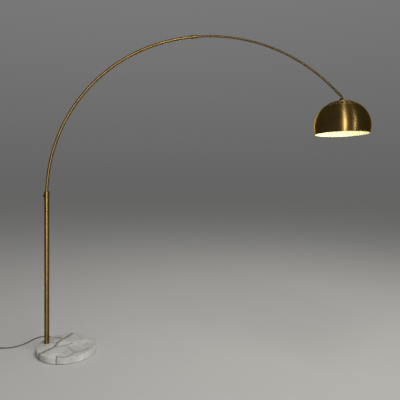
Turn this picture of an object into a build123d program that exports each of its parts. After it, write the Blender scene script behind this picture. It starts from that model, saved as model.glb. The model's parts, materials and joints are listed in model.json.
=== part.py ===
from build123d import *
import math
import os

# Arc floor lamp. Frame: the origin is the centre of the base's underside, +Z is up, and the arm
# reaches from the pole over the base towards +X, in a plane parallel to XZ. All sizes in millimetres.

# ---------------------------------------------------------------- driving dimensions
base_r = 190.0
base_top = 40.0
pad_t = 2.0
pad_r = 186.0
pole_x = -139.0
pole_y = 24.0
pole_r = 16.0
pole_wall = 1.2
collar_bottom = 985.0
collar_top = 1041.0
arm_r = 9.5
upper_r = 6.5
tube_wall = 1.0
shank_bottom = 790.0
spring_z = 1019.0  # height where the arm starts to curve
arc_r1 = 1040.0  # first bend of the arm
arc_r2 = 1141.0  # second, flatter bend
blend_deg = 110.0  # where the two bends meet, from +X about their centres
ferrule_deg = 95.2
reach = 1946.0  # pole axis to shade axis
pivot_z = 1667.0  # shade swivel
dome_r = 173.0
dome_wall = 0.9
dome_z = 1469.5  # centre of the shade's sphere
rim_drop = 50.0  # rim below that centre
cap_deg = 41.5  # the vented cap ends this far from the top
slot_count = 24
cord_r = 3.25
lead_r = 2.3
fit = 0.05

shade_x = pole_x + reach
inner_pole_r = pole_r - pole_wall
arm_plane = Plane(origin=(0, pole_y, 0), x_dir=(1, 0, 0), z_dir=(0, -1, 0))
pole_axis = Axis((pole_x, pole_y, 0), (0, 0, 1))
shade_axis = Axis((shade_x, pole_y, 0), (0, 0, 1))
pole_plane = Plane(origin=(pole_x, pole_y, 0), x_dir=(1, 0, 0), z_dir=(0, -1, 0))
shade_plane = Plane(origin=(shade_x, pole_y, 0), x_dir=(1, 0, 0), z_dir=(0, -1, 0))
dome_plane = Plane(origin=(shade_x, pole_y, dome_z), x_dir=(1, 0, 0), z_dir=(0, -1, 0))

# The arm's centre line, in X and Z: a vertical shank, two tangent bends and a straight end that
# points at the shade's swivel.
c1 = (pole_x + arc_r1, spring_z)
blend = math.radians(blend_deg)
c2 = (
    c1[0] - (arc_r2 - arc_r1) * math.cos(blend),
    c1[1] - (arc_r2 - arc_r1) * math.sin(blend),
)
pivot = (shade_x, pivot_z)
pivot_away = math.dist(c2, pivot)
tip_run = math.sqrt(pivot_away**2 - arc_r2**2)  # from the last bend's end to the swivel
tip_rad = math.atan2(pivot[1] - c2[1], pivot[0] - c2[0]) + math.acos(arc_r2 / pivot_away)
tip_deg = math.degrees(tip_rad)
tip_dir = (math.sin(tip_rad), 0, -math.cos(tip_rad))


def on_arc(deg, radius=arc_r2):
    """A point of the second bend, in X and Z."""
    a = math.radians(deg)
    return (c2[0] + radius * math.cos(a), c2[1] + radius * math.sin(a))


def arc_section(deg):
    """The plane across the arm at this angle of the second bend, its normal along the arm."""
    x, z = on_arc(deg)
    a = math.radians(deg)
    return Plane(origin=(x, pole_y, z), x_dir=(0, 1, 0), z_dir=(math.sin(a), 0, -math.cos(a)))


def degrees_of(length):
    """The angle that a length takes up along the second bend."""
    return math.degrees(length / arc_r2)


def finish(builder, name):
    """Labels the piece and writes its STEP file."""
    builder.part.label = name
    export_step(builder.part, f"parts/{name}.step")


def turned(plane, axis, points, name):
    """A turned piece: a closed outline of radius and height points, revolved."""
    with BuildPart() as piece:
        with BuildSketch(plane):
            with BuildLine():
                Polyline(*points, close=True)
            make_face()
        revolve(axis=axis)
    finish(piece, name)


os.makedirs("parts", exist_ok=True)

# ---------------------------------------------------------------- base and foot
recess_r = 25.0
recess_top = 26.0
stud_r = 6.0
groove_w = 10.0
groove_top = 12.0

with BuildPart() as marble_base:
    with BuildSketch(Plane.XY.offset(pad_t)):
        Circle(base_r)
    extrude(amount=base_top - pad_t)
    fillet(marble_base.edges().group_by(Axis.Z)[-1], radius=2.5)
    fillet(marble_base.edges().group_by(Axis.Z)[0], radius=1.5)
    with BuildSketch(Plane.XY.offset(pad_t)):
        with Locations((pole_x, pole_y)):
            Circle(recess_r)
    extrude(amount=recess_top - pad_t, mode=Mode.SUBTRACT)
    with BuildSketch(Plane.XY.offset(pad_t)):
        with Locations((pole_x, pole_y)):
            Circle(stud_r + 0.3)
    extrude(amount=base_top, mode=Mode.SUBTRACT)
    with BuildSketch(Plane.XY.offset(pad_t)):
        with Locations((pole_x, pole_y)):
            Rectangle(groove_w, base_r, align=(Align.CENTER, Align.MIN))
    extrude(amount=groove_top - pad_t, mode=Mode.SUBTRACT)
finish(marble_base, "marble_base")

with BuildPart() as base_pad:
    with BuildSketch():
        Circle(pad_r)
        with Locations((pole_x, pole_y)):
            Circle(recess_r, mode=Mode.SUBTRACT)
            Rectangle(groove_w, base_r, align=(Align.CENTER, Align.MIN), mode=Mode.SUBTRACT)
    extrude(amount=pad_t)
finish(base_pad, "base_pad")

foot_r = inner_pole_r - fit
foot_high = 22.0
foot_bore = 4.0
stud_bottom = 13.0
washer_t = 3.0
nut_t = 9.0
turned(
    pole_plane,
    pole_axis,
    [
        (foot_bore, stud_bottom),
        (stud_r, stud_bottom),
        (stud_r, base_top),
        (foot_r, base_top),
        (foot_r, base_top + foot_high),
        (foot_bore, base_top + foot_high),
    ],
    "pole_foot",
)

with BuildPart() as clamp_washer:
    with BuildSketch(Plane(origin=(pole_x, pole_y, recess_top - washer_t))):
        Circle(22)
        Circle(stud_r + 0.2, mode=Mode.SUBTRACT)
    extrude(amount=washer_t)
finish(clamp_washer, "clamp_washer")

with BuildPart() as clamp_nut:
    with BuildSketch(Plane(origin=(pole_x, pole_y, recess_top - washer_t - nut_t))):
        RegularPolygon(10.9, 6)
        Circle(stud_r + fit, mode=Mode.SUBTRACT)
    extrude(amount=nut_t)
finish(clamp_nut, "clamp_nut")

# ---------------------------------------------------------------- pole and collar
screw_z = 1012.0
screw_deg = 160.0
screw_r = 3.0
screw_hole = 30.0  # depth of the cut that makes the screw's hole
knob_r = 7.5
knob_long = 7.0
knurls = 20
bush_run = 0.06  # radial play of the arm in its bushes
pole_end = collar_top - 11.0
screw_out = Vector(math.cos(math.radians(screw_deg)), math.sin(math.radians(screw_deg)), 0)
screw_origin = Vector(pole_x, pole_y, screw_z)
screw_plane = Plane(origin=screw_origin, x_dir=(0, 0, 1), z_dir=screw_out)

with BuildPart() as pole_tube:
    with BuildSketch(Plane(origin=(pole_x, pole_y, base_top))):
        Circle(pole_r)
        Circle(inner_pole_r, mode=Mode.SUBTRACT)
    extrude(amount=pole_end - base_top)
    with BuildSketch(screw_plane):
        Circle(screw_r + 0.5)
    extrude(amount=screw_hole, mode=Mode.SUBTRACT)
finish(pole_tube, "pole_tube")

collar_r = 17.5
with BuildPart() as pole_collar:
    with BuildSketch(pole_plane):
        with BuildLine():
            Polyline(
                (pole_r + fit, collar_bottom),
                (pole_r + 0.8, collar_bottom),
                (pole_r + 0.8, collar_bottom + 15),
                (collar_r, collar_bottom + 18),
                (collar_r, collar_top - 2),
                (collar_r - 2, collar_top),
                (arm_r + 0.8, collar_top),
                (arm_r + 0.8, pole_end),
                (pole_r + fit, pole_end),
                close=True,
            )
        make_face()
    revolve(axis=pole_axis)
    with BuildSketch(screw_plane):
        Circle(screw_r + fit)
    extrude(amount=screw_hole, mode=Mode.SUBTRACT)
finish(pole_collar, "pole_collar")

with BuildPart() as upper_bush:
    with BuildSketch(Plane(origin=(pole_x, pole_y, collar_bottom))):
        Circle(inner_pole_r - fit)
        Circle(arm_r + bush_run, mode=Mode.SUBTRACT)
    extrude(amount=spring_z - 1 - collar_bottom)
    with BuildSketch(screw_plane):
        Circle(screw_r + 0.5)
    extrude(amount=screw_hole, mode=Mode.SUBTRACT)
finish(upper_bush, "upper_bush")

bush_bore = 3.6
bush_low = shank_bottom - 12
bush_high = shank_bottom + 25
shank_seat = shank_bottom - 0.1
turned(
    pole_plane,
    pole_axis,
    [
        (bush_bore, bush_low),
        (inner_pole_r - fit, bush_low),
        (inner_pole_r - fit, bush_high),
        (arm_r + bush_run, bush_high),
        (arm_r + bush_run, shank_seat),
        (bush_bore, shank_seat),
    ],
    "lower_bush",
)

with BuildPart() as thumb_screw:
    with BuildSketch(screw_plane.offset(arm_r + 0.15)):
        Circle(screw_r)
    extrude(amount=collar_r - arm_r + 0.5)
    with BuildSketch(screw_plane.offset(collar_r + 0.4)):
        Circle(4.2)
    extrude(amount=1.6)
    with BuildSketch(screw_plane.offset(collar_r + 2)):
        Circle(knob_r)
        with PolarLocations(knob_r + 0.4, knurls):
            Circle(0.8, mode=Mode.SUBTRACT)
    extrude(amount=knob_long)
finish(thumb_screw, "thumb_screw")

# ---------------------------------------------------------------- arm
ferrule_r = 11.5
ferrule_half = 20.0
plug_in = 70.0  # the upper tube's length inside the lower tube


def arm_path(first_deg, last_deg, tail=0.0):
    """Part of the second bend, with a straight tail along the arm's last direction."""
    start, end = on_arc(first_deg), on_arc(last_deg)
    RadiusArc(start, end, arc_r2)
    if tail:
        Line(end, (end[0] + tail * tip_dir[0], end[1] + tail * tip_dir[2]))


with BuildPart() as lower_arc_tube:
    with BuildLine(arm_plane):
        blend_point = on_arc(blend_deg)
        Line((pole_x, shank_bottom), (pole_x, spring_z))
        RadiusArc((pole_x, spring_z), blend_point, arc_r1)
        arm_path(blend_deg, ferrule_deg)
    with BuildSketch(Plane(origin=(pole_x, pole_y, shank_bottom))):
        Circle(arm_r)
        Circle(arm_r - tube_wall, mode=Mode.SUBTRACT)
    sweep()
finish(lower_arc_tube, "lower_arc_tube")

upper_start = ferrule_deg + degrees_of(plug_in)
tube_tail = tip_run - 24.0
with BuildPart() as upper_arc_tube:
    with BuildLine(arm_plane):
        arm_path(upper_start, tip_deg, tube_tail)
    with BuildSketch(arc_section(upper_start)):
        Circle(upper_r)
        Circle(upper_r - tube_wall, mode=Mode.SUBTRACT)
    sweep()
finish(upper_arc_tube, "upper_arc_tube")

with BuildPart() as joint_spigot:
    with BuildLine(arm_plane):
        arm_path(upper_start, ferrule_deg + degrees_of(2))
    with BuildSketch(arc_section(upper_start)):
        Circle(arm_r - tube_wall - fit)
        Circle(upper_r + fit, mode=Mode.SUBTRACT)
    sweep()
finish(joint_spigot, "joint_spigot")

bow = 0.25  # room for the tubes' curve inside the straight ferrule
ferrule_plane = arc_section(ferrule_deg)
with BuildPart() as joint_ferrule:
    with BuildSketch(ferrule_plane.offset(-ferrule_half)):
        Circle(ferrule_r)
    extrude(amount=2 * ferrule_half)
    chamfer(joint_ferrule.edges().filter_by(GeomType.CIRCLE), length=1)
    with BuildSketch(ferrule_plane.offset(-ferrule_half)):
        Circle(arm_r + bow)
    extrude(amount=ferrule_half, mode=Mode.SUBTRACT)
    with BuildSketch(ferrule_plane):
        Circle(upper_r + bow)
    extrude(amount=ferrule_half, mode=Mode.SUBTRACT)
    hole_x, hole_z = on_arc(ferrule_deg - degrees_of(10))
    with BuildSketch(Plane(origin=(hole_x, pole_y, hole_z), z_dir=(0, 0, -1))):
        Circle(2.05)
    extrude(amount=20, mode=Mode.SUBTRACT)
finish(joint_ferrule, "joint_ferrule")

with BuildPart() as ferrule_screw:
    with BuildSketch(Plane(origin=(hole_x, pole_y, hole_z - upper_r - 0.2), z_dir=(0, 0, -1))):
        Circle(2)
    extrude(amount=ferrule_r - upper_r - 0.6)
    with BuildSketch(Plane(origin=(hole_x, pole_y, hole_z - ferrule_r + 0.4), z_dir=(0, 0, 1))):
        RegularPolygon(1.1, 6)
    extrude(amount=1.8, mode=Mode.SUBTRACT)
finish(ferrule_screw, "ferrule_screw")

# The end fitting: a sleeve on the tube's straight end and a tongue for the swivel.
swivel_r = 5.5
tongue_half = 2.5
pin_r = 2.0
sleeve_r = 7.5
sleeve_back = 62.0
sleeve_gap = 9.0
pivot_point = Vector(shade_x, pole_y, pivot_z)
tip = Vector(*tip_dir)


def tip_plane(back):
    """The plane across the arm's straight end, this far before the swivel."""
    return Plane(origin=pivot_point - tip * back, x_dir=(0, 1, 0), z_dir=tip)


swivel_plane = Plane(origin=pivot_point, x_dir=(1, 0, 0), z_dir=(0, -1, 0))
with BuildPart() as arm_end_fitting:
    with BuildSketch(tip_plane(sleeve_back)):
        Circle(sleeve_r)
    extrude(amount=sleeve_back - sleeve_gap)
    fillet(arm_end_fitting.edges().filter_by(GeomType.CIRCLE), radius=1.2)
    with BuildSketch(tip_plane(sleeve_back)):
        Circle(upper_r + fit)
    extrude(amount=40, mode=Mode.SUBTRACT)
    with BuildSketch(tip_plane(sleeve_gap + 3)):
        Rectangle(2 * tongue_half, 2 * swivel_r)
    extrude(amount=sleeve_gap + 3)
    with BuildSketch(swivel_plane):
        Circle(swivel_r)
    extrude(amount=tongue_half, both=True)
    with BuildSketch(swivel_plane):
        Circle(pin_r + fit)
    extrude(amount=10, both=True, mode=Mode.SUBTRACT)
finish(arm_end_fitting, "arm_end_fitting")

# The inner lead, in two stretches that end either side of the arm's swivel in the collar.
groove_z = 6.4
bend_r = 12.0
gland_in = 112.0
with BuildPart() as pole_lead:
    with BuildLine(Plane(origin=(pole_x, pole_y, 0), x_dir=(0, 1, 0), z_dir=(1, 0, 0))) as route:
        Line((gland_in - pole_y, groove_z), (bend_r, groove_z))
        RadiusArc((bend_r, groove_z), (0, groove_z + bend_r), bend_r)
        Line((0, groove_z + bend_r), (0, shank_bottom - 14))
    with BuildSketch(Plane(route.line @ 0, z_dir=route.line % 0)):
        Circle(lead_r)
    sweep()
finish(pole_lead, "pole_lead")

with BuildPart() as arm_lead:
    with BuildLine(arm_plane):
        Line((pole_x, shank_bottom + 4), (pole_x, spring_z))
        RadiusArc((pole_x, spring_z), blend_point, arc_r1)
        arm_path(blend_deg, tip_deg, tube_tail - 6)
    with BuildSketch(Plane(origin=(pole_x, pole_y, shank_bottom + 4))):
        Circle(lead_r)
    sweep()
finish(arm_lead, "arm_lead")

# ---------------------------------------------------------------- shade
cone_bottom = dome_z + 172.35
cone_top = pivot_z - 7.0
ear_in = tongue_half + 0.2
ear_out = 5.6
with BuildPart() as shade_neck:
    with BuildSketch(shade_plane):
        with BuildLine():
            Polyline(
                (5.03, cone_top),
                (8, cone_top),
                (9.2, cone_top - 6),
                (17, cone_bottom),
                (15.4, cone_bottom),
                (8.4, cone_top - 9),
                (5.03, cone_top - 9),
                close=True,
            )
        make_face()
    revolve(axis=shade_axis)
    with BuildSketch(Plane(origin=(shade_x, pole_y, cone_top - 2))):
        Circle(8)
    extrude(amount=2)
    for side in (-1, 1):
        with BuildSketch(swivel_plane.offset(side * (ear_in + ear_out) / 2)):
            Circle(swivel_r)
            Rectangle(2 * swivel_r, pivot_z - cone_top + 1, align=(Align.CENTER, Align.MAX))
        extrude(amount=(ear_out - ear_in) / 2, both=True)
    with BuildSketch(swivel_plane):
        Circle(pin_r + 0.02)
    extrude(amount=10, both=True, mode=Mode.SUBTRACT)
finish(shade_neck, "shade_neck")

with BuildPart() as swivel_pin:
    with BuildSketch(swivel_plane):
        Circle(pin_r)
    extrude(amount=ear_out + 1.5, both=True)
    for side in (-1, 1):
        with BuildSketch(swivel_plane.offset(side * (ear_out + 0.8))):
            Circle(3.4)
        extrude(amount=0.7, both=True)
finish(swivel_pin, "swivel_pin")

nipple_r = 5.0
turned(
    shade_plane,
    shade_axis,
    [(3, dome_z + 157), (nipple_r, dome_z + 157), (nipple_r, cone_top - 2.2), (3, cone_top - 2.2)],
    "threaded_nipple",
)
turned(
    shade_plane,
    shade_axis,
    [(5.2, dome_z + 169.9), (11, dome_z + 169.9), (11, dome_z + 171.0), (5.2, dome_z + 171.0)],
    "nipple_washer",
)
with BuildPart() as nipple_nut:
    with BuildSketch(Plane(origin=(shade_x, pole_y, dome_z + 165.4))):
        RegularPolygon(8, 6)
        Circle(nipple_r + fit, mode=Mode.SUBTRACT)
    extrude(amount=4.5)
finish(nipple_nut, "nipple_nut")


def shell_outline(outer, inner, first_deg, last_deg):
    """A band of spherical shell in section, between two angles from the top."""
    a = CenterArc((0, 0), outer, 90 - last_deg, last_deg - first_deg)
    b = CenterArc((0, 0), inner, 90 - last_deg, last_deg - first_deg)
    Line(a @ 0, b @ 0)
    Line(a @ 1, b @ 1)


cap_r = dome_r - 0.4
cap_wall = 1.2
lip_outer = dome_r - dome_wall - 0.1
slot_first = 29.5
slot_last = 40.9
slot_mid = math.radians((slot_first + slot_last) / 2)
slot_wide = 10.5
dome_centre = Vector(shade_x, pole_y, dome_z)
slot_planes = []
for i in range(slot_count):
    turn = 2 * math.pi * (i + 0.5) / slot_count
    out = Vector(
        math.sin(slot_mid) * math.cos(turn),
        math.sin(slot_mid) * math.sin(turn),
        math.cos(slot_mid),
    )
    down = (
        math.cos(slot_mid) * math.cos(turn),
        math.cos(slot_mid) * math.sin(turn),
        -math.sin(slot_mid),
    )
    slot_planes.append(Plane(origin=dome_centre + out * (cap_r + 3), x_dir=down, z_dir=out))

with BuildPart() as vent_cap:
    with BuildSketch(dome_plane):
        with BuildLine():
            shell_outline(cap_r, cap_r - cap_wall, math.degrees(5.3 / cap_r), cap_deg)
        make_face()
        with BuildLine():
            shell_outline(lip_outer, lip_outer - 1.1, cap_deg - 1.2, cap_deg + 4.5)
        make_face()
    revolve(axis=shade_axis)
    with BuildSketch(*slot_planes):
        SlotOverall(math.radians(slot_last - slot_first) * dome_r, slot_wide)
    extrude(amount=-8, mode=Mode.SUBTRACT)
finish(vent_cap, "vent_cap")

rim_deg = 90 + math.degrees(math.asin(rim_drop / dome_r))
with BuildPart() as shade_dome:
    with BuildSketch(dome_plane):
        with BuildLine():
            shell_outline(dome_r, dome_r - dome_wall, cap_deg + 1.1, rim_deg)
        make_face()
        rim_at = dome_r - dome_wall / 2
        rim_rad = math.radians(90 - rim_deg)
        with Locations((rim_at * math.cos(rim_rad), rim_at * math.sin(rim_rad))):
            Circle(1.3)
    revolve(axis=shade_axis)
finish(shade_dome, "shade_dome")

# ---------------------------------------------------------------- lamp holder and bulb
holder_r = 20.0
turned(
    shade_plane,
    shade_axis,
    [
        (nipple_r + fit, dome_z + 165),
        (12, dome_z + 165),
        (17.5, dome_z + 161),
        (holder_r, dome_z + 154),
        (holder_r, dome_z + 140),
        (holder_r - 2, dome_z + 140),
        (holder_r - 2, dome_z + 153),
        (16, dome_z + 159),
        (11, dome_z + 162.5),
        (nipple_r + fit, dome_z + 162.5),
    ],
    "holder_cap",
)
turned(
    shade_plane,
    shade_axis,
    [
        (holder_r - 1.8, dome_z + 96),
        (holder_r - 0.6, dome_z + 95),
        (holder_r, dome_z + 98),
        (holder_r, dome_z + 139.9),
        (holder_r - 1.8, dome_z + 139.9),
    ],
    "holder_shell",
)
with BuildPart() as holder_core:
    with BuildSketch(Plane(origin=(shade_x, pole_y, dome_z + 130))):
        Circle(17.5)
        Circle(3, mode=Mode.SUBTRACT)
        with PolarLocations(11, 2):
            Circle(1.8, mode=Mode.SUBTRACT)
    extrude(amount=9)
    with BuildSketch(Plane(origin=(shade_x, pole_y, dome_z + 98))):
        Circle(17.5)
        Circle(14.8, mode=Mode.SUBTRACT)
    extrude(amount=32)
finish(holder_core, "holder_core")
turned(
    shade_plane,
    shade_axis,
    [
        (14.2, dome_z + 100),
        (14.75, dome_z + 100),
        (14.75, dome_z + 129.9),
        (14.2, dome_z + 129.9),
    ],
    "screw_shell",
)
with BuildPart() as centre_contact:
    with BuildSketch(Plane(origin=(shade_x, pole_y, dome_z + 127.6))):
        Rectangle(12, 5)
    extrude(amount=0.8)
    with BuildSketch(Plane(origin=(shade_x, pole_y, dome_z + 128.4))):
        Circle(2.4)
    extrude(amount=8)
finish(centre_contact, "centre_contact")
with BuildPart() as shade_lead:
    with BuildSketch(Plane(origin=(shade_x, pole_y, dome_z + 142))):
        Circle(lead_r)
    extrude(amount=cone_top - 4 - dome_z - 142)
finish(shade_lead, "shade_lead")

turned(
    shade_plane,
    shade_axis,
    [
        (11, dome_z + 100),
        (13.2, dome_z + 100),
        (13.2, dome_z + 121),
        (9, dome_z + 124.5),
        (8.4, dome_z + 124.5),
        (12.4, dome_z + 120.4),
        (12.4, dome_z + 101),
        (11, dome_z + 101),
    ],
    "bulb_cap",
)
turned(
    shade_plane,
    shade_axis,
    [(0, dome_z + 122), (8.3, dome_z + 124.6), (4, dome_z + 127.4), (0, dome_z + 127.4)],
    "bulb_contact",
)
bulb_z = 52.0  # widest height of the bulb above the sphere's centre
bulb_r = 30.0
with BuildPart() as bulb_glass:
    with BuildSketch(dome_plane):
        with BuildLine():
            bowl = CenterArc((0, bulb_z), bulb_r, -90, 115)
            neck = Spline(bowl @ 1, (16.5, bulb_z + 38), (12.2, 99.9), tangents=(bowl % 1, (0, 1)))
            Line(neck @ 1, (10.9, 99.9))
            inner = CenterArc((0, bulb_z), bulb_r - 1, -90, 115)
            Spline(inner @ 1, (15.4, bulb_z + 38), (10.9, 99.9), tangents=(inner % 1, (0, 1)))
            Line(bowl @ 0, inner @ 0)
        make_face()
    revolve(axis=shade_axis)
finish(bulb_glass, "bulb_glass")

# ---------------------------------------------------------------- cord, switch, coil and plug
gland_end = 166.0
with BuildPart() as cord_gland:
    gland_plane = Plane(origin=(pole_x, gland_in, groove_z), x_dir=(1, 0, 0), z_dir=(0, 1, 0))
    with BuildSketch(gland_plane):
        RectangleRounded(9.6, 8.4, 2)
        Circle(lead_r + 0.1, mode=Mode.SUBTRACT)
    extrude(amount=10)
    with BuildSketch(gland_plane.offset(10)):
        Circle(4.7)
    with BuildSketch(gland_plane.offset(gland_end - gland_in)):
        Circle(3.9)
    loft()
finish(cord_gland, "cord_gland")

# The mains cord's route: down from the gland to the floor, round behind the base, then forward
# and away to the left, to the foot switch.
switch_y = 32.0
switch_right = -480.0
switch_long = 66.0
switch_left = switch_right - switch_long
floor_z = cord_r + 0.05
cord_route = [
    (pole_x, gland_end, groove_z),
    (-140, 181, 5.2),
    (-147, 197, 4.0),
    (-164, 210, floor_z),
    (-188, 216.5, floor_z),
    (-214, 219, floor_z),
    (-239, 213, floor_z),
    (-259, 196, floor_z),
    (-276, 170, floor_z),
    (-291, 137, floor_z),
    (-306, 105, floor_z),
    (-328, 75, floor_z),
    (-358, 51, floor_z),
    (-394, 35, floor_z),
    (-434, 30, floor_z + 1),
    (switch_right, switch_y, 6.0),
]
plug_y = 33.0
plug_z = 7.2
plug_right = -660.0
coil_cx = -592.0
coil_cy = switch_y + 45.75
coil_in = 22.5
coil_out = 49.5
coil_low = 0.85
coil_high = 14.25


def tube_along(points, name):
    """A cord's tube: straight runs joined by arcs as large as the runs allow."""
    radii = []
    for before, here, after in zip(points, points[1:], points[2:]):
        first, second = Vector(*here) - Vector(*before), Vector(*after) - Vector(*here)
        half_turn = math.radians(first.get_angle(second) / 2)
        radii.append(0.45 * min(first.length, second.length) / math.tan(half_turn))
    with BuildPart() as piece:
        with BuildLine() as path:
            FilletPolyline(*points, radius=radii)
        with BuildSketch(Plane(path.line @ 0, z_dir=path.line % 0)):
            Circle(cord_r)
        sweep()
    length = sum(edge.length for edge in path.edges())
    section = math.pi * cord_r**2
    print(name, "radii", [round(r) for r in radii], "length", round(length),
          "volume ratio", round(piece.part.volume / (section * length), 4))
    finish(piece, name)


tube_along(cord_route, "mains_cord")
tube_along(
    [(switch_left, switch_y, 6.0), (switch_left - 12, switch_y - 0.6, 5.0),
     (-575, switch_y, coil_low + cord_r)],
    "coil_cord",
)
tube_along(
    [(-612, plug_y + 2, coil_high - cord_r - 0.3), (-636, plug_y + 0.5, 9.2),
     (plug_right, plug_y, plug_z)],
    "plug_cord",
)

turned(
    Plane(origin=(coil_cx, coil_cy, 0), x_dir=(1, 0, 0), z_dir=(0, -1, 0)),
    Axis((coil_cx, coil_cy, 0), (0, 0, 1)),
    [
        (coil_in, coil_low),
        (coil_out, coil_low),
        (coil_out, coil_high),
        (coil_in, coil_high),
    ],
    "cord_coil",
)
tie_t = 0.8
with BuildPart() as coil_tie:
    with BuildSketch(Plane(origin=(coil_cx, coil_cy + 6, 0), x_dir=(1, 0, 0), z_dir=(0, -1, 0))):
        with Locations((-(coil_in + coil_out - 0.8) / 2, (coil_high + tie_t + 0.05) / 2)):
            Rectangle(coil_out - coil_in + 3.2, coil_high + tie_t + 0.05)
            Rectangle(coil_out - coil_in + 1.6, coil_high - tie_t + 0.05, mode=Mode.SUBTRACT)
    extrude(amount=12)
finish(coil_tie, "coil_tie")

switch_wide = 31.0
switch_split = 7.5
switch_top = 15.5
switch_mid = (switch_left + switch_right) / 2
button_r = 7.0
travel = 2.5


def switch_outline():
    """The switch's outline seen from above, a rounded oblong."""
    with Locations((switch_mid, switch_y)):
        RectangleRounded(switch_long, switch_wide, 13)


def switch_inside():
    """The room inside the switch."""
    with Locations((switch_mid, switch_y)):
        RectangleRounded(switch_long - 22, switch_wide - 5, 10)


with BuildPart() as switch_base:
    with BuildSketch():
        switch_outline()
    extrude(amount=switch_split)
    fillet(switch_base.edges().group_by(Axis.Z)[0], radius=1.5)
    with BuildSketch(Plane.XY.offset(2)):
        switch_inside()
    extrude(amount=switch_split, mode=Mode.SUBTRACT)
    with BuildSketch(Plane.XY.offset(switch_split - 2)):
        with Locations((switch_mid - 24, switch_y), (switch_mid + 24, switch_y)):
            Circle(1.6)
    extrude(amount=2, mode=Mode.SUBTRACT)
finish(switch_base, "switch_base")

with BuildPart() as switch_cover:
    with BuildSketch(Plane.XY.offset(switch_split + 0.02)):
        switch_outline()
    extrude(amount=switch_top - switch_split)
    fillet(switch_cover.edges().group_by(Axis.Z)[-1], radius=4)
    with BuildSketch(Plane.XY.offset(switch_split)):
        switch_inside()
    extrude(amount=switch_top - switch_split - 2, mode=Mode.SUBTRACT)
    with BuildSketch(Plane.XY.offset(switch_split)):
        with Locations((switch_mid, switch_y)):
            Circle(button_r + 0.08)
    extrude(amount=20, mode=Mode.SUBTRACT)
finish(switch_cover, "switch_cover")

with BuildPart() as switch_button:
    with BuildSketch(Plane.XY.offset(switch_top - 5)):
        with Locations((switch_mid, switch_y)):
            Circle(button_r)
    extrude(amount=8.5)
    fillet(switch_button.edges().group_by(Axis.Z)[-1], radius=1.5)
    with BuildSketch(Plane.XY.offset(switch_top - 5)):
        with Locations((switch_mid, switch_y)):
            Circle(5)
    extrude(amount=6, mode=Mode.SUBTRACT)
    with BuildSketch(Plane.XY.offset(switch_top - 5)):
        with Locations((switch_mid, switch_y)):
            Circle(button_r + 1.6)
            Circle(5, mode=Mode.SUBTRACT)
    extrude(amount=-1.4)
finish(switch_button, "switch_button")

spring_low = 2.1
spring_high = switch_top + 0.9
with BuildPart() as switch_spring:
    with BuildLine() as coil:
        Helix(pitch=2.6, height=spring_high - spring_low - 0.8, radius=3.6,
              center=(switch_mid, switch_y, spring_low + 0.4))
    with BuildSketch(Plane(coil.line @ 0, z_dir=coil.line % 0)):
        Circle(0.35)
    sweep()
finish(switch_spring, "switch_spring")

with BuildPart() as switch_contacts:
    for side in (-1, 1):
        with BuildSketch(Plane.XY.offset(2.05)):
            with Locations((switch_mid + side * 14, switch_y)):
                Rectangle(9, 4)
        extrude(amount=0.6)
        with BuildSketch(Plane.XY.offset(2.65)):
            with Locations((switch_mid + side * 17, switch_y)):
                Rectangle(3, 4)
        extrude(amount=3.5)
finish(switch_contacts, "switch_contacts")

with BuildPart() as plug_body:
    plug_plane = Plane(origin=(plug_right, plug_y, plug_z), x_dir=(0, 1, 0), z_dir=(-1, 0, 0))
    with BuildSketch(plug_plane):
        Circle(4.4)
    with BuildSketch(plug_plane.offset(12)):
        RectangleRounded(13, 11, 5)
    with BuildSketch(plug_plane.offset(22)):
        RectangleRounded(30, 14, 6)
    loft()
    with BuildSketch(plug_plane.offset(22)):
        RectangleRounded(34, 14, 6)
    extrude(amount=12)
finish(plug_body, "plug_body")

with BuildPart() as plug_pins:
    with BuildSketch(plug_plane.offset(34)):
        with Locations((-9.5, 0), (9.5, 0)):
            Circle(2)
    extrude(amount=19)
finish(plug_pins, "plug_pins")
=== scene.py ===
import json
import math

import bmesh
import bpy
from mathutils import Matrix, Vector

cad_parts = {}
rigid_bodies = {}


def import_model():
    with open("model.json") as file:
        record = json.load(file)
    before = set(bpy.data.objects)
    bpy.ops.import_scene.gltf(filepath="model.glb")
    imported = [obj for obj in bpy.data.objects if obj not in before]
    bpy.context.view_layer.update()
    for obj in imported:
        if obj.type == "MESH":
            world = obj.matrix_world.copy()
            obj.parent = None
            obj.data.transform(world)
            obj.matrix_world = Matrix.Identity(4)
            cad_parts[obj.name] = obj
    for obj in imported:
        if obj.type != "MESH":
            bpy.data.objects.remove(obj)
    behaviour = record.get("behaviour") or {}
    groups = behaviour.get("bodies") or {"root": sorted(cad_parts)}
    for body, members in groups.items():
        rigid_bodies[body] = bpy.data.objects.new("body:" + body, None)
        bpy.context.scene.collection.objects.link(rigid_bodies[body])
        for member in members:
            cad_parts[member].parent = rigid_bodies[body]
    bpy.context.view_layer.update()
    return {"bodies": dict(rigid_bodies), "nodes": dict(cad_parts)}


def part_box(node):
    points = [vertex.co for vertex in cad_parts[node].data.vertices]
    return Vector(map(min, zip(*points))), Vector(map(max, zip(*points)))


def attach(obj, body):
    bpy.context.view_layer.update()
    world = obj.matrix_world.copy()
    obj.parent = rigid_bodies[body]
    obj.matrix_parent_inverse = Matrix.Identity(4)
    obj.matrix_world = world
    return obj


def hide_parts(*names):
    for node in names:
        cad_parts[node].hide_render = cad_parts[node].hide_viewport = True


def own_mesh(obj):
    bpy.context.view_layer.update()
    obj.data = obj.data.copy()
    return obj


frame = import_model()
nodes = frame["nodes"]


def centre_of(node):
    """The middle of a CAD node's box."""
    lo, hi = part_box(node)
    return (lo + hi) / 2


pole_at = centre_of("pole_tube")
dome_lo, dome_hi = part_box("shade_dome")
shade_at = centre_of("shade_dome")
dome_r = (dome_hi.x - dome_lo.x) / 2

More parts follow.
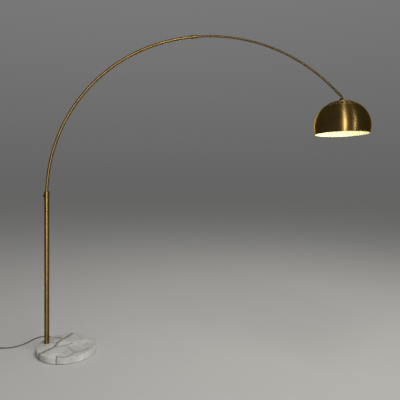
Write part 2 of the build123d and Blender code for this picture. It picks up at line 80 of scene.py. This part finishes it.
# ---------------------------------------------------------------- camera
camera = bpy.data.objects.new("camera", bpy.data.cameras.new("camera"))
bpy.context.scene.collection.objects.link(camera)
bpy.context.scene.camera = camera
camera.location = (0.6345, -2.484, 1.116)
camera.rotation_euler = (math.radians(90), 0, 0)
camera.data.lens = 34.2
camera.data.shift_x = 0.09
camera.data.shift_y = -0.05
camera.data.clip_end = 100

# ---------------------------------------------------------------- cord
CORD_R = 0.00325
STEPS = 16  # points in each turn of the coil
CORE_R = 0.0005  # the bared cores inside the switch
SHEATH_END = 0.015  # from the switch's end to where its sheath is stripped
switch_lo, switch_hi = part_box("switch_base")
coil_at = centre_of("cord_coil")
COIL_OUT = 0.04575  # from the coil's middle to the cord's, in its outermost turn
COIL_IN = 0.0260  # and in its innermost
LOW_LAYER = 0.0041  # height of the cord's middle in the coil's lower layer
HIGH_LAYER = 0.0107  # and in its upper
LAYER_TURNS = 3
CLIMB_TURNS = 0.5
route = [
    (-0.139, 0.166, 0.0064),
    (-0.140, 0.181, 0.0052),
    (-0.147, 0.197, 0.0040),
    (-0.164, 0.210, 0.0033),
    (-0.188, 0.2165, 0.0033),
    (-0.214, 0.219, 0.0033),
    (-0.239, 0.213, 0.0033),
    (-0.259, 0.196, 0.0033),
    (-0.276, 0.170, 0.0033),
    (-0.291, 0.137, 0.0033),
    (-0.306, 0.105, 0.0033),
    (-0.328, 0.075, 0.0033),
    (-0.358, 0.051, 0.0033),
    (-0.394, 0.035, 0.0033),
    (-0.434, 0.030, 0.0043),
    (-0.480, 0.032, 0.0060),
    (-0.492, 0.0321, 0.0056),
    (-0.503, 0.0321, 0.0032),
    (-0.523, 0.0319, 0.0056),
    (-0.534, 0.0320, 0.0056),
    (-0.546, 0.032, 0.0060),
    (-0.558, 0.0314, 0.0050),
    (-0.575, 0.032, 0.0041),
]


def coil_turn(turn):
    """The cord's place in its coil after so many turns: three turns inwards along the floor, half a
    turn climbing, then outwards over them."""
    pitch = 2 * CORD_R
    climbed = (turn - LAYER_TURNS) / CLIMB_TURNS
    if climbed < 0:
        radius, height = COIL_OUT - pitch * turn, LOW_LAYER
    elif climbed < 1:
        radius, height = COIL_IN, LOW_LAYER + (HIGH_LAYER - LOW_LAYER) * climbed
    else:
        radius, height = COIL_IN + pitch * (turn - LAYER_TURNS - CLIMB_TURNS), HIGH_LAYER
    radius /= math.cos(math.pi / STEPS)  # the cord passes inside its points
    angle = -math.pi / 2 - 2 * math.pi * turn
    return (
        coil_at.x + radius * math.cos(angle),
        coil_at.y + radius * math.sin(angle),
        height,
    )


route += [coil_turn((i + 0.5) / STEPS) for i in range(2 * LAYER_TURNS * STEPS)]
route += [
    (-0.612, 0.035, 0.0107),
    (-0.636, 0.0335, 0.0092),
    (-0.660, 0.033, 0.0072),
]
curve = bpy.data.curves.new("power_cord", "CURVE")
curve.dimensions = "3D"
curve.bevel_depth = 1.0  # each point's own radius gives the cord's
curve.bevel_resolution = 4
curve.resolution_u = 6
line = curve.splines.new("NURBS")
line.points.add(len(route) - 1)
for point, place in zip(line.points, route):
    point.co = (*place, 1)
    in_switch = switch_lo.x + SHEATH_END < place[0] < switch_hi.x - SHEATH_END
    point.radius = CORE_R if in_switch else CORD_R
line.use_endpoint_u = True
line.order_u = 3
power_cord = bpy.data.objects.new("power_cord", curve)
bpy.context.scene.collection.objects.link(power_cord)
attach(power_cord, "stand")
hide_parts("mains_cord", "coil_cord", "cord_coil", "plug_cord")


STRAP_THICK = 0.0008
STRAP_HALF = 0.0055  # half its width
STRAP_CORNER = 0.0034  # inside its corners
STRAP_ACROSS = 0.0256  # inside, over the coil's turns
STRAP_INSET = 0.0012  # the cord's outermost turn stays this far inside the coil's box
STRAP_LOW = 0.0008  # inside, over the floor
CORNER_STEPS = 6
SIDE_STEPS = 8


def strap_outline():
    """The strap's path round one side of the coil. Each point is its corner's centre, in X and Z, and
    then the way out from it."""
    coil_lo, coil_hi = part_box("cord_coil")
    near = coil_lo.x + STRAP_INSET
    far = near + STRAP_ACROSS
    high = coil_hi.z + 0.0001
    outline = []
    for corner_x, corner_z, first in (
        (far - STRAP_CORNER, high - STRAP_CORNER, 0),
        (near + STRAP_CORNER, high - STRAP_CORNER, 90),
        (near + STRAP_CORNER, STRAP_LOW + STRAP_CORNER, 180),
        (far - STRAP_CORNER, STRAP_LOW + STRAP_CORNER, 270),
    ):
        for step in range(CORNER_STEPS + 1):
            turn = math.radians(first + 90 * step / CORNER_STEPS)
            outline.append((corner_x, corner_z, math.cos(turn), math.sin(turn)))
    return outline


def strap():
    """The soft strap round the coil: a band with rounded corners, thickest along its middle."""
    outline = strap_outline()
    middle = centre_of("coil_tie").y
    mesh = bmesh.new()
    bands = []
    for side in range(SIDE_STEPS + 1):
        share = 2 * side / SIDE_STEPS - 1
        thick = STRAP_THICK * (0.75 + 0.25 * math.cos(share * math.pi / 2))
        band = []
        for out in (STRAP_CORNER, STRAP_CORNER + thick):
            y = middle + STRAP_HALF * share
            places = [(x + out * to_x, y, z + out * to_z) for x, z, to_x, to_z in outline]
            band.append([mesh.verts.new(place) for place in places])
        bands.append(band)
    steps = [(i, (i + 1) % len(outline)) for i in range(len(outline))]
    for (inner, outer), (next_inner, next_outer) in zip(bands, bands[1:]):
        for i, j in steps:
            mesh.faces.new((outer[i], outer[j], next_outer[j], next_outer[i]))
            mesh.faces.new((inner[j], inner[i], next_inner[i], next_inner[j]))
    for inner, outer in (bands[0], bands[-1]):
        for i, j in steps:
            mesh.faces.new((inner[i], inner[j], outer[j], outer[i]))
    bmesh.ops.recalc_face_normals(mesh, faces=mesh.faces)
    data = bpy.data.meshes.new("tie_strap")
    mesh.to_mesh(data)
    mesh.free()
    data.shade_smooth()
    piece = bpy.data.objects.new("tie_strap", data)
    bpy.context.scene.collection.objects.link(piece)
    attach(piece, "stand")
    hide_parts("coil_tie")
    return piece


tie_strap = strap()


def button_spring():
    """The switch's spring, as its CAD coil, with a mesh of its own."""
    piece = bpy.data.objects.new("button_spring", nodes["switch_spring"].data.copy())
    bpy.context.scene.collection.objects.link(piece)
    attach(piece, "stand")
    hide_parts("switch_spring")
    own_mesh(piece)
    return piece


spring = button_spring()


# ---------------------------------------------------------------- material building
class Surface:
    """A material under construction. Its methods add nodes and return their output sockets."""

    def __init__(self, name, **values):
        self.material = bpy.data.materials.new(name)
        self.material.use_nodes = True
        self.tree = self.material.node_tree
        self.shader = self.tree.nodes["Principled BSDF"]
        for key, value in values.items():
            socket = key.replace("_", " ").title().replace("Ior", "IOR")
            self.shader.inputs[socket].default_value = value
        self.place = self.add("TexCoord").outputs["Object"]

    def add(self, kind, **settings):
        node = self.tree.nodes.new("ShaderNode" + kind)
        for key, value in settings.items():
            setattr(node, key, value)
        return node

    def plug(self, socket, value):
        """Links a socket, or sets a plain value."""
        if isinstance(value, bpy.types.NodeSocket):
            self.tree.links.new(value, socket)
        else:
            socket.default_value = value

    def math(self, operation, *values, clamp=False):
        node = self.add("Math", operation=operation, use_clamp=clamp)
        for socket, value in zip(node.inputs, values):
            self.plug(socket, value)
        return node.outputs[0]

    def vector(self, operation, *values, output=0):
        node = self.add("VectorMath", operation=operation)
        for socket, value in zip(node.inputs, values):
            self.plug(socket, value)
        return node.outputs[output]

    def split(self, vector):
        node = self.add("SeparateXYZ")
        self.plug(node.inputs[0], vector)
        return node.outputs

    def join(self, x, y, z):
        node = self.add("CombineXYZ")
        for socket, value in zip(node.inputs, (x, y, z)):
            self.plug(socket, value)
        return node.outputs[0]

    def noise(self, vector, scale, detail=2.0, roughness=0.5):
        node = self.add("TexNoise")
        self.plug(node.inputs["Vector"], vector)
        node.inputs["Scale"].default_value = scale
        node.inputs["Detail"].default_value = detail
        node.inputs["Roughness"].default_value = roughness
        return node.outputs[0]

    def spread(self, value, low, high, out_low=0.0, out_high=1.0):
        """Rescales a value smoothly from one range to another, held at its ends."""
        node = self.add("MapRange", interpolation_type="SMOOTHSTEP")
        for socket, number in zip(node.inputs, (value, low, high, out_low, out_high)):
            self.plug(socket, number)
        return node.outputs[0]

    def blend(self, share, first, second):
        """Mixes two colours."""
        node = self.add("Mix", data_type="RGBA")
        self.plug(node.inputs[0], share)
        for socket, value in ((node.inputs[6], first), (node.inputs[7], second)):
            self.plug(socket, (*value, 1) if isinstance(value, tuple) else value)
        return node.outputs[2]

    def set(self, name, value):
        self.plug(self.shader.inputs[name], value)

    def bump(self, height, depth, strength=1.0):
        """Raises the surface by up to this depth, in metres."""
        node = self.add("Bump")
        node.inputs["Strength"].default_value = strength
        node.inputs["Distance"].default_value = depth
        self.plug(node.inputs["Height"], height)
        self.set("Normal", node.outputs[0])

    def put_on(self, *names):
        """Gives the material to these nodes, or to pieces made here."""
        for name in names:
            materials = (nodes[name] if isinstance(name, str) else name).data.materials
            materials.clear()
            materials.append(self.material)


# ---------------------------------------------------------------- brass
BRASS = (0.155, 0.101, 0.031)
BRASS_LIGHT = (0.190, 0.126, 0.040)
BRASS_MID = (0.125, 0.083, 0.028)
BRASS_DARK = (0.09, 0.058, 0.020)
BRASS_DEEP = (0.06, 0.040, 0.015)


COPPER = (0.21, 0.125, 0.055)
BRUSHED = (BRASS_DARK, BRASS, BRASS_LIGHT)
GRAIN = 1500.0  # noise cells to a metre, across the brush lines
GRAIN_DEPTH = 0.000004


def brass(name, grain_of, tones=BRUSHED, rough=(0.27, 0.32), turn=0.25, pull=0.8):
    """Antique brass with a brushed grain. grain_of gives the coordinates that the grain is drawn out in.
    tones are the patina's colour and the two that the metal varies between. A turn of a quarter draws
    the gloss out along an upright piece, and pull says how far."""
    made = Surface(name, metallic=1.0, anisotropic=pull, anisotropic_rotation=turn)
    made.shader.inputs["Specular Tint"].default_value = (0.75, 0.6, 0.35, 1)
    grain = grain_of(made)
    fine = made.noise(grain, 1.0, 3.0, 0.65)
    broad = made.noise(made.place, 9.0, 4.0, 0.6)
    patina = made.noise(made.place, 60.0, 3.0, 0.6)
    colour = made.blend(made.spread(broad, 0.3, 0.7), tones[1], tones[2])
    colour = made.blend(made.spread(patina, 0.45, 0.8, 0.0, 0.15), colour, tones[0])
    colour = made.blend(made.spread(fine, 0.35, 0.75, 0.0, 0.2), colour, tones[0])
    made.set("Base Color", colour)
    made.set("Roughness", made.spread(made.math("ADD", fine, broad), 0.7, 1.3, rough[0], rough[1]))
    made.bump(fine, GRAIN_DEPTH, 0.2)
    return made


UPPER_TUBE_R = 0.0065
FIRST_HUB = (pole_at.x + 1.040, 1.019)  # middle of the arm's first bend, in X and Z
SECOND_HUB = (pole_at.x + 1.0745, 0.924)  # and of its second


def along_z(made):
    """Grain along Z, for the upright tube."""
    return made.vector("MULTIPLY", made.place, (2600.0, 2600.0, 30.0))


def about(centre):
    """Grain in rings about a vertical axis through this point, as on spun metal."""

    def rings(made):
        from_axis = made.vector("SUBTRACT", made.place, tuple(centre))
        flat = made.vector("MULTIPLY", from_axis, (1.0, 1.0, 0.0))
        facing = made.vector("NORMALIZE", flat)
        out = made.vector("LENGTH", flat, output=1)
        height = made.split(from_axis)[2]
        x, y, _ = made.split(facing)
        return made.join(
            made.math("MULTIPLY", x, 2.2),
            made.math("MULTIPLY", y, 2.2),
            made.math("MULTIPLY", made.math("SUBTRACT", height, out), GRAIN),
        )

    return rings


def along_arc(hub_x, hub_z):
    """Grain along a tube that bends in an upright plane about this point, and runs straight to the
    shade's swivel from where the bend ends."""
    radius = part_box("upper_arc_tube")[1].z - UPPER_TUBE_R - SECOND_HUB[1]
    swivel = Vector((shade_at.x - SECOND_HUB[0], 0, centre_of("swivel_pin").z - SECOND_HUB[1]))
    last = math.atan2(swivel.z, swivel.x) + math.acos(radius / swivel.length)

    def lengthwise(made):
        x, y, z = made.split(made.vector("SUBTRACT", made.place, (hub_x, pole_at.y, hub_z)))
        heading = made.math("ARCTAN2", z, x)
        flat = made.join(x, 0.0, z)
        out = made.vector("LENGTH", flat, output=1)
        across = made.vector("DOT_PRODUCT", flat, (math.cos(last), 0.0, math.sin(last)), output=1)
        straight = made.math("LESS_THAN", heading, last)
        step = made.math("MULTIPLY", made.math("SUBTRACT", across, out), straight)
        return made.join(
            made.math("MULTIPLY", made.math("ADD", out, step), GRAIN),
            made.math("MULTIPLY", y, GRAIN),
            made.math("MULTIPLY", heading, 35.0),
        )

    return lengthwise


TUBE_ROUGH = (0.40, 0.45)
TUBE_PULL = 0.5


def arc_brass(name, hub, tones):
    """Brass for a piece of the arc, with its gloss drawn out along the bend about this hub."""
    made = brass(name, along_arc(*hub), tones, TUBE_ROUGH, turn=0.0, pull=TUBE_PULL)
    x, _, z = made.split(made.vector("SUBTRACT", made.place, (hub[0], pole_at.y, hub[1])))
    made.set("Tangent", made.vector("NORMALIZE", made.join(made.math("MULTIPLY", z, -1.0), 0.0, x)))
    return made


pole_brass = brass("pole_brass", along_z, rough=TUBE_ROUGH, pull=TUBE_PULL)
pole_brass.put_on("pole_tube")
collar_tones = (BRASS_DARK, COPPER, BRASS)
collar_brass = brass("collar_brass", about(pole_at), collar_tones, rough=(0.36, 0.46))
collar_brass.put_on("pole_collar")
# The lower arc's tones are darker than the pole's: painted shade on the same brass, which dims its
# highlights.
lower_brass = arc_brass("lower_brass", FIRST_HUB, (BRASS_DARK, BRASS_MID, BRASS))
lower_brass.put_on("lower_arc_tube")
# The upper arc and arm end are darker still: painted shade on the same brass, so the top of the arc looks
# dim.
upper_brass = arc_brass("upper_brass", SECOND_HUB, (BRASS_DEEP, BRASS_DEEP, BRASS_DARK))
upper_brass.put_on("upper_arc_tube", "arm_end_fitting")
ferrule_brass = arc_brass("ferrule_brass", SECOND_HUB, (BRASS_DARK, BRASS_DARK, BRASS))
ferrule_brass.put_on("joint_ferrule")
screw_tones = (BRASS_DARK, BRASS_DARK, COPPER)
screw_brass = brass("screw_brass", about(centre_of("thumb_screw")), screw_tones)
screw_brass.put_on("thumb_screw")

BRONZE = (0.030, 0.021, 0.012)
BRONZE_WORN = (0.09, 0.062, 0.03)
bronze = brass("bronze", about(shade_at), (BRONZE, BRONZE, BRONZE_WORN), rough=(0.30, 0.44), pull=0.3)
bronze.put_on("shade_neck", "swivel_pin")

DOME_TOP_DEG = 42.6  # the dome's top edge, from the top of its sphere


def shade_skin(name, inside, inside_rough, tones, skin_from=0.0):
    """The shade's two faces: spun brass outside, and another colour on the inside and on whatever lies
    nearer than skin_from to the middle of the sphere: white paint in the dome, near-black painted shade
    in the cap."""
    sphere = Vector((shade_at.x, shade_at.y, dome_hi.z - math.cos(math.radians(DOME_TOP_DEG)) * dome_r))
    made = brass(name, about(sphere), tones, rough=(0.35, 0.39), pull=0.9)
    normal = made.add("TexCoord").outputs["Normal"]
    outward = made.vector("SUBTRACT", made.place, tuple(sphere))
    facing = made.vector("DOT_PRODUCT", normal, made.vector("NORMALIZE", outward), output=1)
    proud = made.math("GREATER_THAN", made.vector("LENGTH", outward, output=1), skin_from)
    skin = made.math("MULTIPLY", made.math("GREATER_THAN", facing, -0.35), proud)
    colour = made.shader.inputs["Base Color"].links[0].from_socket
    rough = made.shader.inputs["Roughness"].links[0].from_socket
    speck = made.noise(made.place, 220.0, 3.0, 0.6)
    inner_tone = made.blend(made.spread(speck, 0.3, 0.7), inside, tuple(c * 0.94 for c in inside))
    made.set("Base Color", made.blend(skin, inner_tone, colour))
    made.set("Metallic", skin)
    bare = made.math("MULTIPLY", made.math("SUBTRACT", 1.0, skin), inside_rough)
    made.set("Roughness", made.math("ADD", made.math("MULTIPLY", skin, rough), bare))
    return made


SHADE_WHITE = (0.86, 0.84, 0.78)
# The vent cap's tones are lighter than the dome's: a painted highlight on the posts between its slots.
CAP_PAINTED_HIGHLIGHT = (0.40, 0.27, 0.09)
# Near black inside the vent cap is painted shade, which keeps its slots dark.
CAP_INSIDE_PAINTED_SHADE = (0.018, 0.014, 0.009)
shade_brass = shade_skin("shade_brass", SHADE_WHITE, 0.5, (BRASS_DEEP, BRASS_MID, BRASS))
shade_brass.put_on("shade_dome")
cap_skin_from = dome_r - 0.0007
cap_brass = shade_skin("cap_brass", CAP_INSIDE_PAINTED_SHADE, 0.7, (BRASS, BRASS_LIGHT, CAP_PAINTED_HIGHLIGHT), cap_skin_from)
cap_brass.put_on("vent_cap")


# ---------------------------------------------------------------- marble
MARBLE_LIGHT = (0.69, 0.695, 0.66)
MARBLE_GREY = (0.50, 0.505, 0.48)
MARBLE_PATCH = (0.43, 0.435, 0.415)
VEIN_DARK = (0.040, 0.034, 0.026)
WANDER = 0.030  # how far the veins stray from their points, in metres
MAIN_VEIN = [
    (-0.010, 0.195),
    (-0.028, 0.125),
    (-0.055, 0.070),
    (-0.074, 0.035),
    (-0.073, -0.030),
    (-0.094, -0.080),
    (-0.125, -0.118),
    (-0.150, -0.130),
]
# Each vein: its points in X and Y on the base's top, then its width in metres and its darkness.
VEINS = [
    (MAIN_VEIN, 0.0130, 1.0),
    (MAIN_VEIN, 0.030, 0.45),
    ([(-0.045, 0.095), (-0.075, 0.108), (-0.105, 0.110)], 0.022, 0.85),
    ([(-0.200, 0.040), (-0.140, 0.022), (-0.085, 0.030)], 0.018, 0.55),
    ([(-0.062, -0.035), (-0.021, -0.024), (0.007, 0.004), (0.030, 0.024)], 0.013, 0.65),
    ([(0.018, -0.037), (0.055, -0.080), (0.085, -0.104)], 0.012, 0.42),
    (
        [(0.000, -0.184), (0.050, -0.170), (0.079, -0.112), (0.119, -0.095), (0.150, -0.050)],
        0.015,
        0.42,
    ),
    ([(-0.018, -0.165), (-0.012, -0.21)], 0.008, 0.95),
    ([(-0.015, -0.170), (0.012, -0.168)], 0.005, 0.6),
    # This broad entry is no vein: it darkens the left of the top, round the pole's foot.
    ([(-0.190, -0.060), (-0.120, 0.120)], 0.110, 0.34),
    ([(0.060, 0.040), (0.110, -0.010), (0.200, 0.000)], 0.020, 0.20),
    ([(-0.100, -0.160), (-0.040, -0.110), (0.020, -0.120)], 0.010, 0.22),
]


def vein(made, flat, points, width, share):
    """A vein that follows these points of the base's top, and runs down the side past them. flat is the
    place on the stone, bent as its veins are. The width is how far the vein's dark fades out."""
    nearest = None
    for (ax, ay), (bx, by) in zip(points, points[1:]):
        run = Vector((bx - ax, by - ay, 0))
        off = made.vector("SUBTRACT", flat, (ax, ay, 0.0))
        off = made.vector("MULTIPLY", off, (1.0, 1.0, 0.0))
        ahead = made.vector("DOT_PRODUCT", off, tuple(run), output=1)
        along = made.math("DIVIDE", ahead, run.length_squared, clamp=True)
        foot = made.add("VectorMath", operation="SCALE")
        foot.inputs[0].default_value = run
        made.plug(foot.inputs["Scale"], along)
        away = made.vector("LENGTH", made.vector("SUBTRACT", off, foot.outputs[0]), output=1)
        nearest = away if nearest is None else made.math("MINIMUM", nearest, away)
    return made.math("MULTIPLY", made.spread(nearest, width, 0.0), share)


def marble():
    """Polished marble with broad soft greys, fine threads and the base's own veins."""
    made = Surface("marble", roughness=0.16, ior=1.5, coat_weight=0.35, coat_roughness=0.06)
    soft = made.noise(made.place, 7.0, 4.0, 0.55)
    swirl = made.add("TexNoise")
    made.plug(swirl.inputs["Vector"], made.place)
    swirl.inputs["Scale"].default_value = 16.0
    swirl.inputs["Detail"].default_value = 5.0
    drift = made.vector("SUBTRACT", swirl.outputs[1], (0.5, 0.5, 0.5))
    drift = made.vector("MULTIPLY", drift, (WANDER, WANDER, WANDER))
    bent = made.vector("ADD", made.place, drift)
    flat = made.vector("MULTIPLY", bent, (1.0, 1.0, 0.25))
    dark = vein(made, flat, *VEINS[0])
    for mark in VEINS[1:]:
        dark = made.math("MAXIMUM", dark, vein(made, flat, *mark))
    smear = made.math("ABSOLUTE", made.math("SUBTRACT", made.noise(bent, 6.0, 4.0, 0.5), 0.5))
    where = made.spread(soft, 0.4, 0.65)
    smear = made.math("MULTIPLY", made.spread(smear, 0.07, 0.0, 0.0, 0.26), where)
    thread = made.math("ABSOLUTE", made.math("SUBTRACT", made.noise(bent, 13.0, 3.0, 0.5), 0.47))
    elsewhere = made.math("SUBTRACT", 1.0, where)
    thread = made.math("MULTIPLY", made.spread(thread, 0.02, 0.0, 0.0, 0.25), elsewhere)
    dark = made.math("MAXIMUM", dark, made.math("MAXIMUM", smear, thread))
    patch = made.noise(bent, 40.0, 5.0, 0.7)
    dark = made.math("MULTIPLY", dark, made.spread(patch, 0.25, 0.6, 0.5, 1.0))
    colour = made.blend(made.spread(soft, 0.35, 0.7), MARBLE_LIGHT, MARBLE_GREY)
    colour = made.blend(made.spread(patch, 0.5, 0.85, 0.0, 0.35), colour, MARBLE_PATCH)
    colour = made.blend(dark, colour, VEIN_DARK)
    made.set("Base Color", colour)
    made.bump(made.noise(made.place, 900.0, 2.0), 0.00001, 0.2)
    return made


marble().put_on("marble_base")


# ---------------------------------------------------------------- other materials
def moulded(name, light, dark, rough, grain=2200.0, depth=0.00005):
    """Moulded plastic or rubber with a fine spark-eroded texture."""
    made = Surface(name, specular_ior_level=0.4)
    speck = made.noise(made.place, grain, 2.0, 0.6)
    mottle = made.noise(made.place, 60.0, 3.0, 0.6)
    made.set("Base Color", made.blend(made.spread(mottle, 0.3, 0.7), light, dark))
    made.set("Roughness", made.spread(speck, 0.3, 0.7, rough - 0.08, rough + 0.08))
    made.bump(speck, depth, 0.5)
    return made


def bare_metal(name, light, dark, rough):
    """Plated or turned metal, with faint scratches."""
    made = Surface(name, metallic=1.0)
    mottle = made.noise(made.place, 120.0, 4.0, 0.6)
    lines = made.noise(made.vector("MULTIPLY", made.place, (300.0, 300.0, 4000.0)), 1.0, 3.0, 0.6)
    made.set("Base Color", made.blend(made.spread(mottle, 0.3, 0.7), light, dark))
    made.set("Roughness", made.spread(lines, 0.3, 0.7, rough - 0.06, rough + 0.08))
    made.bump(lines, 0.00002, 0.4)
    return made


# Each: two shades, the roughness, then what it goes on. Then the same for the metals.
MOULDED = {
    "gland_rubber": ((0.02, 0.02, 0.021), (0.03, 0.03, 0.03), 0.6, ["cord_gland"]),
    "switch_plastic": (
        (0.020, 0.020, 0.022),
        (0.028, 0.028, 0.030),
        0.45,
        ["switch_base", "switch_cover"],
    ),
    "plug_plastic": ((0.022, 0.022, 0.023), (0.030, 0.030, 0.031), 0.5, ["plug_body"]),
    "button_plastic": ((0.055, 0.055, 0.058), (0.070, 0.070, 0.072), 0.35, ["switch_button"]),
    "lead_sheath": (
        (0.6, 0.59, 0.55),
        (0.5, 0.49, 0.46),
        0.5,
        ["pole_lead", "arm_lead", "shade_lead"],
    ),
    "nylon": ((0.72, 0.71, 0.66), (0.64, 0.63, 0.58), 0.45, ["upper_bush", "lower_bush"]),
    "holder_plastic": (
        (0.022, 0.020, 0.018),
        (0.032, 0.030, 0.027),
        0.4,
        ["holder_cap", "holder_shell"],
    ),
    "porcelain": ((0.85, 0.84, 0.80), (0.80, 0.79, 0.75), 0.2, ["holder_core"]),
    "insulator": ((0.02, 0.02, 0.025), (0.03, 0.03, 0.035), 0.15, ["bulb_contact"]),
}
STEEL_PIECES = ["pole_foot", "clamp_washer", "clamp_nut", "joint_spigot", "nipple_washer", "nipple_nut"]
METALS = {
    "steel": ((0.50, 0.50, 0.51), (0.38, 0.38, 0.39), 0.32, [*STEEL_PIECES, spring]),
    "dark_screw": (
        (0.12, 0.09, 0.05),
        (0.07, 0.055, 0.035),
        0.35,
        ["ferrule_screw", "threaded_nipple"],
    ),
    "contact_brass": (
        (0.65, 0.48, 0.22),
        (0.50, 0.36, 0.16),
        0.28,
        ["switch_contacts", "screw_shell", "centre_contact"],
    ),
    "pin_metal": ((0.72, 0.72, 0.73), (0.62, 0.62, 0.63), 0.2, ["plug_pins"]),
    "bulb_metal": ((0.66, 0.65, 0.62), (0.55, 0.54, 0.50), 0.3, ["bulb_cap"]),
}
cord_rubber = moulded("cord_rubber", (0.022, 0.022, 0.024), (0.034, 0.034, 0.036), 0.46, 1500.0, 0.00004)
cord_rubber.put_on(power_cord)
for name, (light, dark, rough, pieces) in MOULDED.items():
    moulded(name, light, dark, rough).put_on(*pieces)
for name, (light, dark, rough, pieces) in METALS.items():
    bare_metal(name, light, dark, rough).put_on(*pieces)


def felt():
    """Black felt, with fibres that stand up from it."""
    made = Surface("felt", roughness=0.95, sheen_weight=0.4, sheen_roughness=0.6)
    fibres = made.noise(made.vector("MULTIPLY", made.place, (1.0, 1.0, 3.0)), 700.0, 5.0, 0.75)
    tufts = made.noise(made.place, 90.0, 3.0, 0.6)
    loft = made.math("MULTIPLY", fibres, tufts)
    made.set("Base Color", made.blend(loft, (0.02, 0.02, 0.02), (0.10, 0.10, 0.10)))
    made.bump(fibres, 0.0004, 0.7)
    return made


felt().put_on("base_pad")


def frosted():
    """A lit frosted bulb. Its glow isn't sampled as a light, since bulb_light gives most of its light."""
    made = Surface("frosted_bulb", roughness=0.35, emission_strength=2.0)
    made.material.cycles.emission_sampling = "NONE"
    cloud = made.noise(made.place, 80.0, 3.0, 0.6)
    made.set("Base Color", made.blend(cloud, (0.93, 0.88, 0.76), (0.88, 0.82, 0.70)))
    made.set("Emission Color", made.blend(cloud, (1.0, 0.86, 0.60), (1.0, 0.82, 0.54)))
    return made


frosted().put_on("bulb_glass")

# ---------------------------------------------------------------- cord tie
webbing = Surface("tie_webbing", roughness=0.8, sheen_weight=0.3)
weave = webbing.noise(webbing.vector("MULTIPLY", webbing.place, (1800.0, 3200.0, 1800.0)), 1.0, 2.0)
webbing.set("Base Color", webbing.blend(weave, (0.012, 0.012, 0.013), (0.045, 0.045, 0.047)))
webbing.bump(weave, 0.0001, 0.7)
webbing.put_on(tie_strap)

# ---------------------------------------------------------------- floor and light
FLOOR = 40.0  # from its middle to its edges
floor_corners = [(-FLOOR, -FLOOR, 0), (FLOOR, -FLOOR, 0), (FLOOR, FLOOR, 0), (-FLOOR, FLOOR, 0)]
floor_mesh = bpy.data.meshes.new("floor")
floor_mesh.from_pydata(floor_corners, [], [(0, 1, 2, 3)])
floor = bpy.data.objects.new("floor", floor_mesh)
bpy.context.scene.collection.objects.link(floor)
ground = Surface("pale_floor", roughness=1.0, specular_ior_level=0.0)
mottle = ground.noise(ground.place, 3.0, 3.0)
ground.set("Base Color", ground.blend(mottle, (0.57, 0.57, 0.56), (0.59, 0.59, 0.58)))
floor_mesh.materials.append(ground.material)

# The sky's two greys are set so that the floor meets it without a line.
HORIZON = (0.13, 0.13, 0.129, 1)
ZENITH = (0.27, 0.27, 0.27, 1)
world = bpy.data.worlds.new("studio")
bpy.context.scene.world = world
world.use_nodes = True
sky = world.node_tree
facing = sky.nodes.new("ShaderNodeTexCoord").outputs["Generated"]
height = sky.nodes.new("ShaderNodeSeparateXYZ")
sky.links.new(facing, height.inputs[0])
fade = sky.nodes.new("ShaderNodeValToRGB")
fade.color_ramp.elements[0].color = HORIZON
fade.color_ramp.elements[1].color = ZENITH
sky.links.new(height.outputs[2], fade.inputs[0])
sky.links.new(fade.outputs[0], sky.nodes["Background"].inputs["Color"])
bpy.context.scene.view_settings.view_transform = "Standard"


def all_but(name, *pieces):
    """A collection that keeps a light off these pieces."""
    kept_off = bpy.data.collections.new(name)
    for place, piece in enumerate(pieces):
        kept_off.objects.link(piece)
        kept_off.collection_objects[place].light_linking.link_state = "EXCLUDE"
    return kept_off


def soft_box(name, place, target, size, power, colour=(1.0, 0.97, 0.92)):
    """A rectangular studio light at this place, turned to its target."""
    light = bpy.data.lights.new(name, "AREA")
    light.shape = "RECTANGLE"
    light.size, light.size_y = size
    light.energy = power
    light.color = colour
    lamp = bpy.data.objects.new(name, light)
    bpy.context.scene.collection.objects.link(lamp)
    lamp.location = place
    lamp.rotation_euler = (Vector(target) - Vector(place)).to_track_quat("-Z", "Y").to_euler()
    return lamp


# The strips shape the reflections in the brass, and leave no glare on the floor or the stone. The two
# broad lights show the stone and the floor, and fill keeps off the floor.
off_stone = all_but("off_stone", floor, nodes["marble_base"])
for strip in (
    soft_box("front_strip", (0.81, -4.7, 1.3), (0.8, 0.0, 1.2), (0.33, 2.2), 205),
    soft_box("high_strip", (1.10, -3.0, 4.1), (1.8, 0.0, 1.5), (0.24, 2.4), 48),
    soft_box("side_strip", (3.87, -4.0, 1.8), (1.0, 0.0, 1.2), (0.16, 3.0), 62),
    soft_box("back_strip", (1.2, 5.0, 2.4), (1.4, 0.0, 1.4), (0.5, 2.4), 28),
):
    strip.light_linking.receiver_collection = off_stone
top_soft = soft_box("top_soft", (2.2, -1.5, 4.6), (0.4, 0.0, 0.0), (3.0, 3.0), 145)
top_soft.visible_glossy = False
fill = soft_box("fill", (3.5, -4.5, 1.4), (0.0, 0.0, 0.1), (2.5, 2.0), 125)
fill.visible_glossy = False
fill.light_linking.receiver_collection = all_but("off_floor", floor)

bulb_light = bpy.data.lights.new("bulb_light", "POINT")
bulb_light.energy = 0.55
bulb_light.color = (1.0, 0.92, 0.31)
bulb_light.shadow_soft_size = 0.02  # its radius
glow = bpy.data.objects.new("bulb_light", bulb_light)
bpy.context.scene.collection.objects.link(glow)
BELOW_BULB = 0.03
glow.location = (shade_at.x, shade_at.y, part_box("bulb_glass")[0].z - BELOW_BULB)
glow.parent = frame["bodies"]["shade"]
